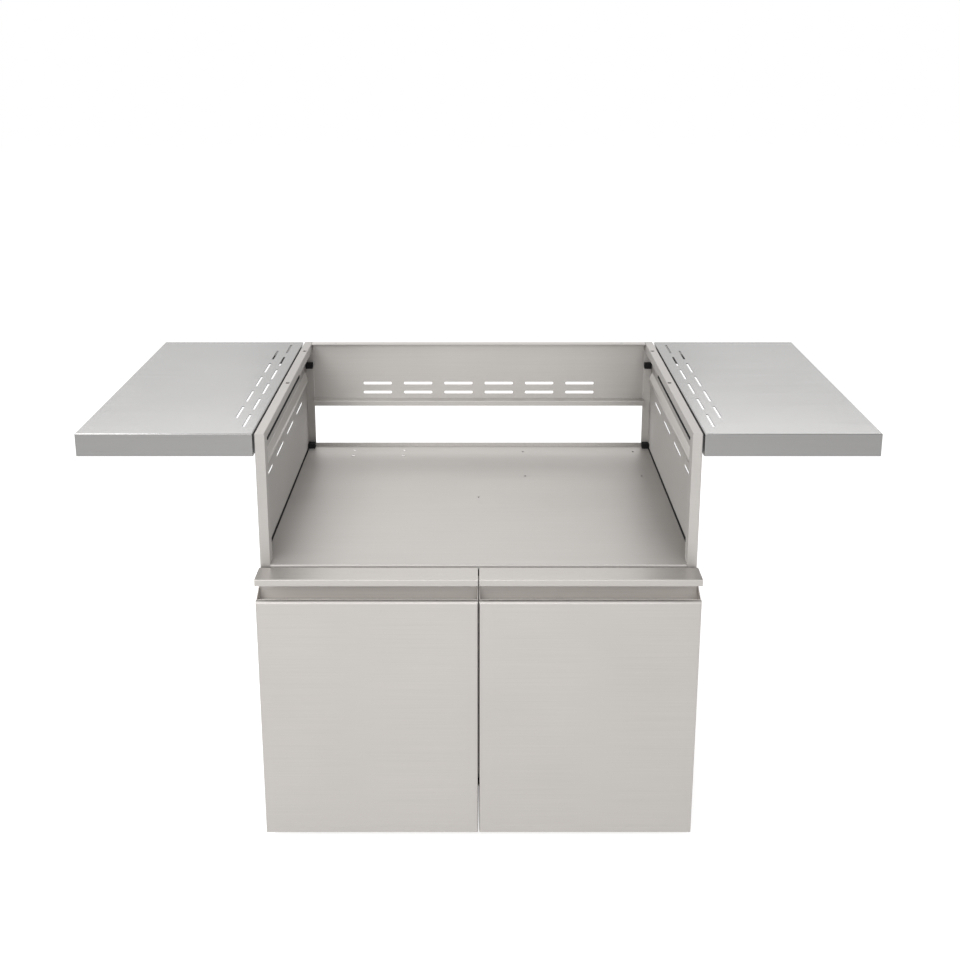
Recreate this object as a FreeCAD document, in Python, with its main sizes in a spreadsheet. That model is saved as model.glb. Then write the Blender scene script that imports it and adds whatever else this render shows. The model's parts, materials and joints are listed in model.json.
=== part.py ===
import FreeCAD, Part
import math
import os
import re

import Sketcher

# A grill cart folded from stainless sheet: an open well for a built-in grill between two side shelves,
# over a cabinet with two doors, on swivel casters.
# X runs from left to right, Y from front to back and Z up. The origin is on the ground,
# under the middle of the cart's box.

doc = FreeCAD.newDocument("grill_cart")
sheet = doc.addObject("Spreadsheet::Sheet", "Sizes")

# Driving dimensions in millimetres, with what each one is.
SIZES = [
    ("frame_width", 914, "over both side skins"),
    ("frame_depth", 682, "front posts to rear flanges"),
    ("counter_height", 914, "top of the rails and shelves"),
    ("base_height", 95, "underside of the cabinet"),
    ("gauge", 1.5, "thickness of the folded sheet"),
    ("bend", 2.5, "outside radius of a fold"),
    ("fit_gap", 0.3, "room left where one piece sits inside another"),
    ("running_gap", 0.06, "room round a pin that turns"),
    ("post_width", 21, "front post, top rail and rear flange"),
    ("post_return", 27, "inward return of the front post"),
    ("rail_lip", 20, "turned-down edge of the top rail"),
    ("rail_hole_inset", 13, "grill fixing hole to the side skin"),
    ("rail_hole_first", 335, "front plane to the first grill fixing hole"),
    ("rail_hole_pitch", 262, "between the fixing holes of one rail"),
    ("rail_hole_radius", 5, "grill fixing hole"),
    ("slot_length", 75.5, "vent slot, end to end"),
    ("side_slot_length", 92, "vent slot in a side skin, end to end"),
    ("slot_width", 7.5, "vent slot in the side skins and the rear panels"),
    ("shelf_slot_width", 5, "vent slot in a shelf"),
    ("slot_pitch", 107, "vent slots on the shelves and the rear panels"),
    ("side_slot_drop", 138, "row of slots in the side skin below the counter"),
    ("side_slot_pitch", 140, "slots in the side skin"),
    ("side_slot_count", 4, "slots in one side skin"),
    ("rear_height", 155, "upright part of the rear upper panel"),
    ("rear_top_fold", 23, "top flange of the rear upper panel"),
    ("rear_low_fold", 22, "lower flange of the rear upper panel"),
    ("rear_low_lip", 14, "turned-down edge of that lower flange"),
    ("rear_slot_drop", 138, "lower row of slots in the rear upper panel below the counter"),
    ("rear_slot_rise", 25, "between its two rows"),
    ("rear_slot_count", 6, "slots in a row of the rear panels"),
    ("rear_hole_spread", 748, "between the two holes of its top flange"),
    ("rear_hole_radius", 2.5, "hole in its top flange"),
    ("back_flange", 12, "stiffening flange of the rear lower panel"),
    ("back_slot_inset", 60, "slot row to the edge of the rear lower panel"),
    ("deck_height", 624, "floor of the grill well"),
    ("deck_apron", 34, "front flange of the deck"),
    ("deck_gap", 2, "side skin to the deck"),
    ("floor_height", 120, "top of the cabinet floor"),
    ("tray_hem", 10, "rear upstand of the deck and the floor"),
    ("tray_flange", 18, "side flange of the deck and the floor"),
    ("deck_hole_radius", 3, "fixing hole in the deck"),
    ("gas_hole_radius", 2.5, "hole in the middle of the deck"),
    ("gas_hole_y", 346, "front plane to the middle hole"),
    ("burner_hole_x", 117, "first column of deck holes"),
    ("burner_hole_pitch", 291.5, "to the second column"),
    ("burner_hole_y", 475, "front plane to the first row of deck holes"),
    ("burner_hole_rise", 164, "to the second row"),
    ("screw_inset", 125.5, "outer column of deck screws to the deck's left edge"),
    ("screw_pitch", 131.5, "to the inner column"),
    ("screw_y", 610, "front plane to the front row of deck screws"),
    ("screw_rise", 38.5, "to the rear row"),
    ("screw_head", 4, "radius of a deck screw head"),
    ("screw_shank", 2, "radius of a deck screw"),
    ("stile_width", 40, "centre stile"),
    ("stile_depth", 20, "centre stile"),
    ("buffer_size", 18, "rear buffer, across and deep"),
    ("buffer_height", 13, "rear buffer"),
    ("buffer_round", 1.5, "edges of a buffer"),
    ("buffer_drop", 68, "underside of the upper buffers below the counter"),
    ("shelf_width", 361.8, "side shelf"),
    ("shelf_gap", 3.8, "side skin to shelf"),
    ("shelf_thickness", 48.5, "side shelf"),
    ("shelf_hem", 40, "flange under the edge of a shelf"),
    ("shelf_slot_inset", 26.2, "inner row of slots to the shelf's inner edge"),
    ("shelf_row_gap", 25.6, "between the two rows of slots"),
    ("shelf_slot_start", 42, "front edge to the first slot of the inner row"),
    ("shelf_slot_count", 6, "slots in the inner row"),
    ("angle_gauge", 3, "thickness of the shelf angle"),
    ("angle_leg", 18, "level leg of the shelf angle"),
    ("angle_drop", 14, "top of the angle below the counter"),
    ("angle_inset", 24, "ends of the angle to the shelf's ends"),
    ("bolt_radius", 3, "shelf bolts"),
    ("bolt_head", 5.5, "radius of their heads"),
    ("bolt_head_height", 4, "their heads"),
    ("bolt_first", 70, "shelf's front to the first bolt"),
    ("bolt_pitch", 180, "between bolts"),
    ("bolt_count", 4, "bolts along a shelf"),
    ("door_gap", 3, "frame to the back of a door"),
    ("door_thickness", 55, "door"),
    ("door_overhang", 1.5, "door past the side skin"),
    ("door_split", 2.8, "gap between the doors"),
    ("door_bottom", 22, "lower edge of the doors"),
    ("door_drop", 4, "top of the lip below the deck"),
    ("lip_height", 14, "turned-down front of the lip"),
    ("lip_back", 12, "turned-down back of the lip"),
    ("grip_opening", 30.5, "height of the finger recess"),
    ("grip_depth", 44, "depth of the finger recess"),
    ("grip_fall", 22, "fall of the recess floor to its back"),
    ("grip_rise", 10.5, "rise of the recess's end plates to its back"),
    ("grip_roll", 7, "outside radius of the rolled edge under the recess"),
    ("door_bend", 2.5, "outside radius of the door's other edges"),
    ("hinge_inset", 10, "hinge axis to the door's outer edge"),
    ("hinge_setback", 27.5, "hinge axis to the door's back"),
    ("hinge_low", 180, "height of the lower hinges"),
    ("hinge_drop", 124, "upper hinges below the deck"),
    ("hinge_pin_radius", 4, "hinge pin"),
    ("hinge_pin_head", 6, "radius of the pin's head"),
    ("hinge_ear_radius", 8, "rounded end of a hinge ear"),
    ("hinge_ear_gauge", 3, "thickness of an ear"),
    ("hinge_spread", 32, "between the two ears"),
    ("hinge_plate_height", 40, "plate of a hinge bracket"),
    ("knuckle_radius", 7.5, "hinge knuckle"),
    ("knuckle_height", 31, "hinge knuckle"),
    ("notch_height", 50, "notch in the door round a hinge"),
    ("notch_width", 26, "notch in from the door's outer edge"),
    ("notch_reach", 16, "notch in front of the hinge axis"),
    ("magnet_drop", 84, "middle of the door magnets below the deck"),
    ("magnet_length", 46, "door magnet"),
    ("magnet_width", 13, "door magnet"),
    ("magnet_depth", 12, "door magnet inside the stile"),
    ("magnet_proud", 1.8, "door magnet in front of the stile"),
    ("magnet_offset", 11, "middle of a magnet to the middle of the cart"),
    ("strike_gauge", 0.8, "strike plate"),
    ("bumper_radius", 7, "door bumper"),
    ("bumper_proud", 2.6, "door bumper"),
    ("rail_inset", 72, "middle of a base rail to the side skin"),
    ("base_rail_width", 100, "base rail"),
    ("base_rail_gauge", 2.5, "base rail"),
    ("caster_front", 90, "front plane to the front swivel axes"),
    ("caster_rear", 592, "front plane to the rear swivel axes"),
    ("plate_length", 92, "caster plate, front to back"),
    ("plate_width", 66, "caster plate"),
    ("plate_gauge", 3, "caster plate"),
    ("plate_round", 6, "corners of a caster plate"),
    ("plate_hole_y", 74, "between caster bolts, front to back"),
    ("plate_hole_x", 50, "between caster bolts, across"),
    ("plate_bolt_radius", 4, "caster bolt"),
    ("plate_bolt_head", 6.5, "radius of a caster bolt's head"),
    ("plate_bolt_head_height", 3.5, "caster bolt head"),
    ("plate_nut_height", 5, "caster bolt nut"),
    ("race_radius", 24, "ball race under the plate"),
    ("race_height", 4.5, "ball race"),
    ("kingpin_radius", 6, "swivel pin"),
    ("kingpin_head", 11, "radius of the swivel pin's head"),
    ("kingpin_head_height", 3.5, "swivel pin's head"),
    ("crown_gauge", 3.5, "top plate of the fork"),
    ("fork_gap", 33, "between the legs of the fork"),
    ("fork_gauge", 3, "leg of the fork"),
    ("fork_front", 20, "swivel axis to the front of the legs"),
    ("fork_rear", 45, "swivel axis to the rear of the legs"),
    ("fork_boss", 12, "rounded lower end of a leg"),
    ("trail", 28, "swivel axis to the axle"),
    ("wheel_radius", 37.5, "over the tyre"),
    ("tyre_width", 25, "tyre"),
    ("tyre_tread", 14, "flat part of the tread"),
    ("rim_radius", 26, "hub under the tyre"),
    ("rim_width", 21, "hub under the tyre"),
    ("rim_wall", 3.5, "depth of the rim"),
    ("web_width", 8, "disc of the hub"),
    ("boss_radius", 10, "middle of the hub"),
    ("axle_radius", 4, "axle"),
    ("axle_head", 7, "radius of the axle's head and nut"),
    ("axle_head_height", 4.5, "axle's head and nut"),
    ("brake_y", 36, "swivel axis to the brake pin"),
    ("brake_drop", 4.5, "brake pin below the top of the fork"),
    ("brake_pin_radius", 3, "brake pin"),
    ("brake_tube", 4.4, "sleeve of the pedal round its pin"),
    ("pedal_length", 44, "brake pin to the end of the pedal"),
    ("pedal_gauge", 3, "pedal"),
    ("pedal_width", 40, "tread of the pedal behind the fork"),
    ("pedal_toe", 12, "length of the pedal's tread"),
    ("shoe_offset", 10, "brake pin to the brake shoe"),
    ("shoe_length", 9, "brake shoe"),
    ("shoe_room", 2.4, "brake shoe to the tyre, brake off"),
]

ALIASES = [name for name, number, meaning in SIZES]

for row, (name, number, meaning) in enumerate(SIZES, start=1):
    sheet.set("A%d" % row, meaning)
    sheet.set("B%d" % row, str(number))
    sheet.setAlias("B%d" % row, name)
doc.recompute()

# Places worked out from the driving dimensions. Lengths in X are for the right-hand side.
PLACES = {
    "half_width": "frame_width / 2",
    "front_y": "-(frame_depth - door_gap - door_thickness) / 2",
    "rear_y": "front_y + frame_depth",
    "post_in": "half_width - post_width",
    "wall_in": "half_width - gauge",
    "rail_hole_x": "half_width - rail_hole_inset",
    "rear_low": "counter_height - rear_height",
    "tray_half": "wall_in - fit_gap",
    "deck_half": "wall_in - deck_gap",
    "screw_x": "deck_half - screw_inset",
    "side_slot_height": "counter_height - side_slot_drop",
    "rear_slot_height": "counter_height - rear_slot_drop",
    "buffer_upper": "counter_height - buffer_drop",
    "tray_rear": "rear_y - gauge",
    "back_low": "floor_height + tray_hem + fit_gap",
    "back_high": "deck_height - gauge - fit_gap",
    "shelf_in": "half_width + shelf_gap",
    "shelf_out": "shelf_in + shelf_width",
    "shelf_low": "counter_height - shelf_thickness",
    "bolt_height": "shelf_low + shelf_thickness / 2",
    "shelf_screw_x": "half_width + (angle_leg + angle_gauge) / 2",
    "door_in": "door_split / 2",
    "door_top": "deck_height - door_drop",
    "hinge_high": "deck_height - hinge_drop",
    "magnet_height": "deck_height - magnet_drop",
    "door_out": "half_width + door_overhang",
    "door_back": "front_y - door_gap",
    "door_face": "door_back - door_thickness",
    "face_top": "door_top - lip_height - grip_opening",
    "grip_back": "door_face + grip_depth",
    "grip_slope": "grip_fall / grip_depth",
    "grip_under": "gauge * (grip_slope + sqrt(1 + grip_slope ^ 2))",
    "hinge_x": "door_out - hinge_inset",
    "hinge_y": "door_back - hinge_setback",
    "base_rail_x": "half_width - rail_inset",
    "plate_low": "base_height - plate_gauge",
    "crown_top": "plate_low - race_height - fit_gap",
    "crown_low": "crown_top - crown_gauge",
    "brake_z": "crown_top - brake_drop",
}

PARTS = []


def cells(text):
    """The expression with every named size or place led back to the sheet."""
    def swap(found):
        word = found.group()
        if word in PLACES:
            return "(" + cells(PLACES[word]) + ")"
        if word in ALIASES:
            return "Sizes." + word
        return word
    return re.sub(r"[a-z][a-z_]+", swap, str(text))


def value(text):
    """What the expression comes to."""
    return float(sheet.evalExpression(cells(text)))


def bind(piece, prop, text):
    piece.setExpression(prop, cells(text))


def keep(piece, label):
    """Names a finished sub-part."""
    piece.Label = label
    PARTS.append(piece)
    return piece


def place(piece, x, y, z):
    bind(piece, "Placement.Base.x", x)
    bind(piece, "Placement.Base.y", y)
    bind(piece, "Placement.Base.z", z)
    return piece


TURNS = {
    "X": FreeCAD.Rotation(FreeCAD.Vector(0, 1, 0), 90),
    "Y": FreeCAD.Rotation(FreeCAD.Vector(1, 0, 0), -90),
    "Z": FreeCAD.Rotation(),
}


def box(low, size):
    """A block from its lowest corner and its three lengths."""
    piece = doc.addObject("Part::Box", "block")
    for prop, text in zip(("Length", "Width", "Height"), size):
        bind(piece, prop, text)
    return place(piece, *low)


def rod(start, axis, radius, length):
    """A round bar that runs from start towards the positive end of an axis."""
    piece = doc.addObject("Part::Cylinder", "rod")
    piece.Placement.Rotation = TURNS[axis]
    bind(piece, "Radius", radius)
    bind(piece, "Height", length)
    return place(piece, *start)


def hexagon(start, axis, radius, length):
    """A six-sided head or nut, measured over its corners."""
    piece = doc.addObject("Part::Prism", "hexagon")
    piece.Polygon = 6
    piece.Placement.Rotation = TURNS[axis]
    bind(piece, "Circumradius", radius)
    bind(piece, "Height", length)
    return place(piece, *start)


def fuse(*pieces):
    whole = doc.addObject("Part::MultiFuse", "joined")
    whole.Shapes = list(pieces)
    return whole


def cut(base, *tools):
    piece = doc.addObject("Part::Cut", "trimmed")
    piece.Base = base
    piece.Tool = tools[0] if len(tools) == 1 else fuse(*tools)
    return piece


def common(one, other):
    """What two pieces share."""
    piece = doc.addObject("Part::Common", "shared")
    piece.Base = one
    piece.Tool = other
    return piece


def group(*pieces):
    """Separate solids that share one node."""
    whole = doc.addObject("Part::Compound", "set")
    whole.Links = list(pieces)
    return whole


def mirrored(piece):
    """The same piece for the other hand."""
    twin = doc.addObject("Part::Mirroring", "twin")
    twin.Source = piece
    twin.Normal = FreeCAD.Vector(1, 0, 0)
    return twin


def pair(piece, name):
    """A right-hand piece and its left-hand twin, each a sub-part."""
    keep(piece, "right_" + name)
    keep(mirrored(piece), "left_" + name)


def new_body(name):
    return doc.addObject("PartDesign::Body", name)


def sketch(owner, plane, height="0"):
    """A drawing on one of the body's own planes, height along that plane's normal."""
    drawing = owner.newObject("Sketcher::SketchObject", "drawing")
    origin_plane = next(item for item in owner.Origin.OriginFeatures if item.Role == plane)
    drawing.AttachmentSupport = (origin_plane, [""])
    drawing.MapMode = "FlatFace"
    bind(drawing, "AttachmentOffset.Base.z", height)
    return drawing


def fix_point(drawing, geometry, end, x, y):
    """Holds a point of the drawing at two expressions."""
    for kind, text in (("DistanceX", x), ("DistanceY", y)):
        number = drawing.addConstraint(Sketcher.Constraint(kind, -1, 1, geometry, end, value(text)))
        bind(drawing, "Constraints[%d]" % number, text)


def outline(drawing, points):
    """A closed run of straight lines through the points."""
    corners = [FreeCAD.Vector(value(x), value(y), 0) for x, y in points]
    first = drawing.GeometryCount
    count = len(points)
    for k in range(count):
        drawing.addGeometry(Part.LineSegment(corners[k], corners[(k + 1) % count]), False)
    for k in range(count):
        drawing.addConstraint(Sketcher.Constraint("Coincident", first + k, 2, first + (k + 1) % count, 1))
    for k, (x, y) in enumerate(points):
        fix_point(drawing, first + k, 1, x, y)


def rectangle(drawing, low_x, low_y, high_x, high_y):
    outline(drawing, [(low_x, low_y), (high_x, low_y), (high_x, high_y), (low_x, high_y)])


def circle(drawing, x, y, radius):
    centre = FreeCAD.Vector(value(x), value(y), 0)
    ring = drawing.addGeometry(Part.Circle(centre, FreeCAD.Vector(0, 0, 1), value(radius)), False)
    fix_point(drawing, ring, 3, x, y)
    number = drawing.addConstraint(Sketcher.Constraint("Radius", ring, value(radius)))
    bind(drawing, "Constraints[%d]" % number, radius)


def slot(drawing, x, y, upright=False, width="slot_width", length="slot_length"):
    """A vent slot with round ends, centred on a point, along the drawing's X or Y."""
    reach = "(%s - %s) / 2" % (length, width)
    ends = [("%s - %s" % (x, reach), y), ("%s + %s" % (x, reach), y)]
    turn = 0
    if upright:
        ends = [(x, "%s - %s" % (y, reach)), (x, "%s + %s" % (y, reach))]
        turn = math.pi / 2
    radius = value(width + " / 2")
    normal = FreeCAD.Vector(0, 0, 1)
    centres = [FreeCAD.Vector(value(a), value(b), 0) for a, b in ends]
    quarter = math.pi / 2
    first = drawing.GeometryCount
    arcs = []
    for centre, start in zip(centres, (quarter + turn, 3 * quarter + turn)):
        arcs.append(Part.ArcOfCircle(Part.Circle(centre, normal, radius), start, start + math.pi))
        drawing.addGeometry(arcs[-1], False)
    drawing.addGeometry(Part.LineSegment(arcs[0].EndPoint, arcs[1].StartPoint), False)
    drawing.addGeometry(Part.LineSegment(arcs[1].EndPoint, arcs[0].StartPoint), False)
    for a, end_a, b, end_b in ((0, 2, 2, 1), (2, 2, 1, 1), (1, 2, 3, 1), (3, 2, 0, 1)):
        drawing.addConstraint(Sketcher.Constraint("Tangent", first + a, end_a, first + b, end_b))
    drawing.addConstraint(Sketcher.Constraint("Equal", first, first + 1))
    number = drawing.addConstraint(Sketcher.Constraint("Radius", first, radius))
    bind(drawing, "Constraints[%d]" % number, width + " / 2")
    for k, (a, b) in enumerate(ends):
        fix_point(drawing, first + k, 3, a, b)


def pad(owner, drawing, length, backwards=False):
    feature = owner.newObject("PartDesign::Pad", "pad")
    feature.Profile = drawing
    feature.Reversed = backwards
    bind(feature, "Length", length)
    return feature


def pocket(owner, drawing, length, backwards=False):
    """Cuts against the drawing's normal, or along it when backwards."""
    feature = owner.newObject("PartDesign::Pocket", "pocket")
    feature.Profile = drawing
    feature.Reversed = backwards
    bind(feature, "Length", length)
    return feature


def revolve(owner, drawing):
    """Turns the drawing once round its own X axis."""
    feature = owner.newObject("PartDesign::Revolution", "turned")
    feature.Profile = drawing
    feature.ReferenceAxis = (drawing, ["H_Axis"])
    feature.Angle = 360
    return feature


def repeat(owner, feature, drawing, axis, pitch, count):
    """Repeats a feature along an axis of its drawing."""
    row = owner.newObject("PartDesign::LinearPattern", "row")
    row.Originals = [feature]
    row.Direction = (drawing, [axis])
    bind(row, "Length", "(%s) * (%s - 1)" % (pitch, count))
    bind(row, "Occurrences", count)
    owner.Tip = row
    return row


def round_edges(owner, radius, wanted):
    """Rounds the straight edges for which wanted(direction, middle) is true."""
    doc.recompute()
    base = owner.Tip
    names = []
    for number, edge in enumerate(base.Shape.Edges, start=1):
        if not isinstance(edge.Curve, Part.Line):
            continue
        run = edge.Vertexes[1].Point - edge.Vertexes[0].Point
        direction = "XYZ"[[abs(run.x), abs(run.y), abs(run.z)].index(max(abs(run.x), abs(run.y), abs(run.z)))]
        if wanted(direction, edge.CenterOfMass):
            names.append("Edge%d" % number)
    feature = owner.newObject("PartDesign::Fillet", "fold")
    feature.Base = (base, names)
    bind(feature, "Radius", radius)
    return feature


def near(number, text):
    return abs(number - value(text)) < 0.01


# Side panels


def side_panel():
    """One folded side: skin, front post, top rail and rear flange."""
    owner = new_body("side_panel")
    section = sketch(owner, "XY_Plane", "base_height")
    outline(section, [
        ("half_width", "front_y"),
        ("half_width", "rear_y"),
        ("post_in", "rear_y"),
        ("post_in", "rear_y - gauge"),
        ("wall_in", "rear_y - gauge"),
        ("wall_in", "front_y + gauge"),
        ("post_in + gauge", "front_y + gauge"),
        ("post_in + gauge", "front_y + post_return"),
        ("post_in", "front_y + post_return"),
        ("post_in", "front_y"),
    ])
    pad(owner, section, "counter_height - base_height")
    rail = sketch(owner, "XZ_Plane", "-front_y")
    outline(rail, [
        ("half_width", "counter_height"),
        ("half_width", "counter_height - gauge"),
        ("post_in + gauge", "counter_height - gauge"),
        ("post_in + gauge", "counter_height - rail_lip"),
        ("post_in", "counter_height - rail_lip"),
        ("post_in", "counter_height"),
    ])
    pad(owner, rail, "frame_depth", backwards=True)
    round_edges(owner, "bend", lambda direction, middle: (
        direction == "Z" and near(middle.x, "half_width")
        and (near(middle.y, "front_y") or near(middle.y, "rear_y"))
        or direction == "Y" and near(middle.z, "counter_height")))
    vents = sketch(owner, "YZ_Plane", "half_width")
    first = "front_y + frame_depth / 2 - side_slot_pitch * (side_slot_count - 1) / 2"
    slot(vents, first, "side_slot_height", length="side_slot_length")
    vent = pocket(owner, vents, "gauge * 2")
    repeat(owner, vent, vents, "H_Axis", "side_slot_pitch", "side_slot_count")
    holes = sketch(owner, "XY_Plane", "counter_height")
    circle(holes, "rail_hole_x", "front_y + rail_hole_first", "rail_hole_radius")
    circle(holes, "rail_hole_x", "front_y + rail_hole_first + rail_hole_pitch", "rail_hole_radius")
    pocket(owner, holes, "gauge * 2")
    bolts = sketch(owner, "YZ_Plane", "half_width")
    circle(bolts, "front_y + bolt_first", "bolt_height", "bolt_radius + fit_gap / 2")
    bolt = pocket(owner, bolts, "gauge * 2")
    repeat(owner, bolt, bolts, "H_Axis", "bolt_pitch", "bolt_count")
    return owner


pair(side_panel(), "side_panel")

# Rear panels


def rear_upper_panel():
    """The slotted panel behind the grill, folded forward at its top and bottom."""
    owner = new_body("rear_upper")
    half = "post_in - fit_gap"
    section = sketch(owner, "YZ_Plane", "-(%s)" % half)
    outline(section, [
        ("rear_y", "counter_height"),
        ("rear_y", "rear_low - gauge"),
        ("rear_y - rear_low_fold + gauge", "rear_low - gauge"),
        ("rear_y - rear_low_fold + gauge", "rear_low - rear_low_lip"),
        ("rear_y - rear_low_fold", "rear_low - rear_low_lip"),
        ("rear_y - rear_low_fold", "rear_low"),
        ("rear_y - gauge", "rear_low"),
        ("rear_y - gauge", "counter_height - gauge"),
        ("rear_y - rear_top_fold", "counter_height - gauge"),
        ("rear_y - rear_top_fold", "counter_height"),
    ])
    pad(owner, section, "2 * (%s)" % half)
    round_edges(owner, "bend", lambda direction, middle: (
        direction == "X" and (
            near(middle.y, "rear_y") and near(middle.z, "counter_height")
            or near(middle.y, "rear_y") and near(middle.z, "rear_low - gauge")
            or near(middle.y, "rear_y - rear_low_fold") and near(middle.z, "rear_low"))))
    vents = sketch(owner, "XZ_Plane", "gauge * 2 - rear_y")
    first = "-slot_pitch * (rear_slot_count - 1) / 2"
    slot(vents, first, "rear_slot_height")
    slot(vents, first, "rear_slot_height + rear_slot_rise")
    vent = pocket(owner, vents, "gauge * 3")
    repeat(owner, vent, vents, "H_Axis", "slot_pitch", "rear_slot_count")
    holes = sketch(owner, "XY_Plane", "counter_height")
    circle(holes, "-rear_hole_spread / 2", "rear_y - rear_top_fold / 2", "rear_hole_radius")
    circle(holes, "rear_hole_spread / 2", "rear_y - rear_top_fold / 2", "rear_hole_radius")
    pocket(owner, holes, "gauge * 2")
    return keep(owner, "rear_upper_panel")


def rear_lower_panel():
    """The back of the cabinet, with a row of vents near its top and its bottom."""
    owner = new_body("rear_lower")
    section = sketch(owner, "YZ_Plane", "-tray_half")
    outer = "rear_y - gauge"
    inner = "rear_y - 2 * gauge"
    flange = "rear_y - gauge - back_flange"
    outline(section, [
        (outer, "back_low"),
        (outer, "back_high"),
        (flange, "back_high"),
        (flange, "back_high - gauge"),
        (inner, "back_high - gauge"),
        (inner, "back_low + gauge"),
        (flange, "back_low + gauge"),
        (flange, "back_low"),
    ])
    pad(owner, section, "2 * tray_half")
    vents = sketch(owner, "XZ_Plane", "gauge * 3 - rear_y")
    first = "-slot_pitch * (rear_slot_count - 1) / 2"
    slot(vents, first, "back_low + back_slot_inset")
    slot(vents, first, "back_high - back_slot_inset")
    vent = pocket(owner, vents, "gauge * 3")
    repeat(owner, vent, vents, "H_Axis", "slot_pitch", "rear_slot_count")
    return keep(owner, "rear_lower_panel")


rear_upper_panel()
rear_lower_panel()

# Deck of the grill well and floor of the cabinet


def tray(name, half, top, apron):
    """A level sheet between the sides: front apron, rear hem, side flanges, corners clear of the posts."""
    owner = new_body(name)
    section = sketch(owner, "YZ_Plane", "-" + half)
    outline(section, [
        ("front_y", top),
        ("tray_rear - gauge", top),
        ("tray_rear - gauge", "%s + tray_hem" % top),
        ("tray_rear", "%s + tray_hem" % top),
        ("tray_rear", "%s - gauge" % top),
        ("front_y + gauge", "%s - gauge" % top),
        ("front_y + gauge", "%s - (%s)" % (top, apron)),
        ("front_y", "%s - (%s)" % (top, apron)),
    ])
    pad(owner, section, "2 * " + half)
    round_edges(owner, "bend", lambda direction, middle: (
        direction == "X" and near(middle.z, top) and near(middle.y, "front_y")))
    sides = sketch(owner, "XY_Plane", "%s - gauge / 2" % top)
    flange_front = "front_y + post_return + post_width"
    flange_rear = "tray_rear - gauge - back_flange - post_return"
    rectangle(sides, half + " - gauge", flange_front, half, flange_rear)
    rectangle(sides, "-" + half, flange_front, "gauge - " + half, flange_rear)
    pad(owner, sides, "tray_flange - gauge / 2", backwards=True)
    corners = sketch(owner, "XY_Plane", "%s + gauge" % top)
    notch_front = "front_y - gauge"
    notch_rear = "front_y + post_return + fit_gap"
    rectangle(corners, "post_in - fit_gap", notch_front, "half_width", notch_rear)
    rectangle(corners, "-half_width", notch_front, "fit_gap - post_in", notch_rear)
    pocket(owner, corners, "%s + 2 * gauge" % apron)
    return owner


def deck_holes(owner):
    """The fixing holes of the deck: four for the screws, four to the right and one in the middle."""
    holes = sketch(owner, "XY_Plane", "deck_height")
    for column in ("screw_pitch - screw_x", "-screw_x"):
        for line in ("screw_y", "screw_y + screw_rise"):
            circle(holes, column, "front_y + " + line, "screw_shank + fit_gap / 2")
    for column in ("burner_hole_x", "burner_hole_x + burner_hole_pitch"):
        for line in ("burner_hole_y", "burner_hole_y + burner_hole_rise"):
            circle(holes, column, "front_y + " + line, "deck_hole_radius")
    circle(holes, "0", "front_y + gas_hole_y", "gas_hole_radius")
    pocket(owner, holes, "gauge * 2")


def deck_screws():
    """Four domed screws in the rear left of the deck."""
    screws = []
    for column in ("screw_pitch - screw_x", "-screw_x"):
        for line in ("screw_y", "screw_y + screw_rise"):
            y = "front_y + " + line
            head = rod((column, y, "deck_height"), "Z", "screw_head", "gauge")
            shank = rod((column, y, "deck_height - 4 * gauge"), "Z", "screw_shank", "4 * gauge")
            screws.append(fuse(head, shank))
    return group(*screws)


deck = tray("deck", "deck_half", "deck_height", "deck_apron")
deck_holes(deck)
keep(deck, "grill_deck")
keep(deck_screws(), "deck_screws")
keep(tray("floor", "tray_half", "floor_height", "floor_height - base_height"), "cabinet_floor")

# Centre stile, magnets and bumpers


def centre_stile():
    """The channel between the two door openings, with a window for each magnet."""
    owner = new_body("stile")
    half = "stile_width / 2"
    section = sketch(owner, "XY_Plane", "floor_height")
    outline(section, [
        ("-" + half, "front_y"),
        (half, "front_y"),
        (half, "front_y + stile_depth"),
        (half + " - gauge", "front_y + stile_depth"),
        (half + " - gauge", "front_y + gauge"),
        ("gauge - " + half, "front_y + gauge"),
        ("gauge - " + half, "front_y + stile_depth"),
        ("-" + half, "front_y + stile_depth"),
    ])
    pad(owner, section, "deck_height - deck_apron - floor_height")
    windows = sketch(owner, "XZ_Plane", "-front_y")
    reach = "(magnet_width / 2 + fit_gap)"
    low = "magnet_height - magnet_length / 2 - fit_gap"
    high = "magnet_height + magnet_length / 2 + fit_gap"
    for middle in ("magnet_offset", "-magnet_offset"):
        rectangle(windows, middle + " - " + reach, low, middle + " + " + reach, high)
    pocket(owner, windows, "gauge * 2")
    return keep(owner, "centre_stile")


def door_magnets():
    magnets = []
    for middle in ("magnet_offset", "-magnet_offset"):
        low = (middle + " - magnet_width / 2", "front_y - magnet_proud", "magnet_height - magnet_length / 2")
        magnets.append(box(low, ("magnet_width", "magnet_depth + magnet_proud", "magnet_length")))
    return keep(group(*magnets), "door_magnets")


def door_bumpers():
    """Rubber dots on the middle line, which the inner edges of both doors close against."""
    bumpers = []
    for z in ("(base_height + floor_height) / 2", "deck_height - deck_apron / 2"):
        bumpers.append(rod(("0", "front_y - bumper_proud", z), "Y", "bumper_radius", "bumper_proud"))
    return keep(group(*bumpers), "door_bumpers")


centre_stile()
door_magnets()
door_bumpers()

# Buffers in the rear corners of the well


def rear_buffers():
    blocks = []
    seats = [
        ("tray_rear - gauge - buffer_size", "deck_height"),
        ("tray_rear - buffer_size", "buffer_upper"),
    ]
    for x in ("post_in + fit_gap", "-post_in - fit_gap - buffer_size"):
        for y, z in seats:
            block = new_body("buffer")
            plan = sketch(block, "XY_Plane", z)
            rectangle(plan, x, y, x + " + buffer_size", y + " + buffer_size")
            pad(block, plan, "buffer_height")
            round_edges(block, "buffer_round", lambda direction, middle: direction == "Z")
            blocks.append(block)
    return keep(group(*blocks), "rear_buffers")


rear_buffers()

# Side shelves


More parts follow.
